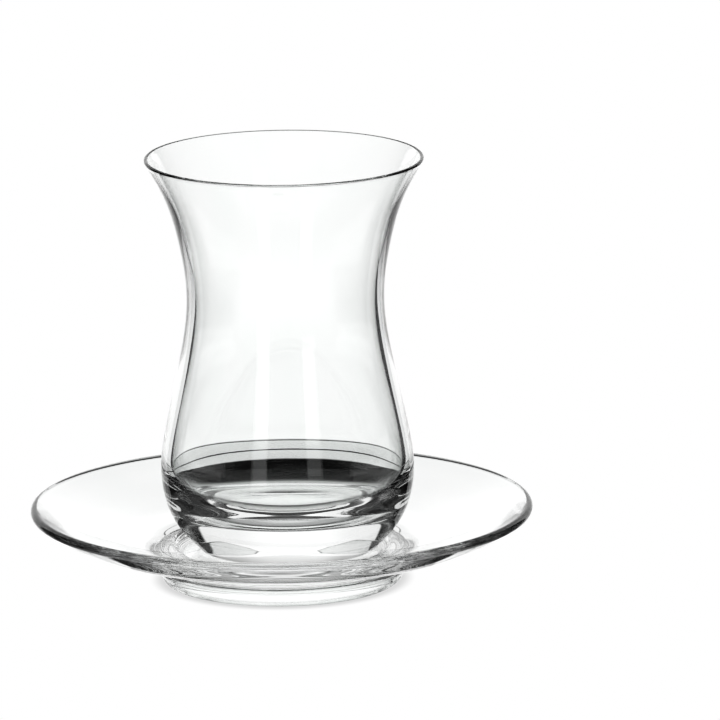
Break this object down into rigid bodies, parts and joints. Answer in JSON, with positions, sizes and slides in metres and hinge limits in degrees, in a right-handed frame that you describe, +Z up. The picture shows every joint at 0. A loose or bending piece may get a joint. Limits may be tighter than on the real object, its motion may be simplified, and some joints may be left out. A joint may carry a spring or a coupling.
{
  "type": "tea glass with saucer",
  "caption": "Empty clear waisted tea glass with a thick solid base, standing in the well of a shallow clear glass saucer on a round foot ring.",
  "frame": {"origin": "on the table, under the centre of the saucer's foot ring", "axes": "+Z up along the axis of the saucer; -Y towards the viewer of the picture; the glass stands 1.4 mm to +X of the saucer's axis"},
  "size_m": [0.11, 0.11, 0.0942],
  "materials": {
    "tumbler_glass": "clear, smooth, fire-polished",
    "saucer_glass": "clear, smooth, pressed"
  },
  "bodies": {
    "root": {"tea_glass": "tumbler_glass", "saucer": "saucer_glass"}
  },
  "joints": []
}
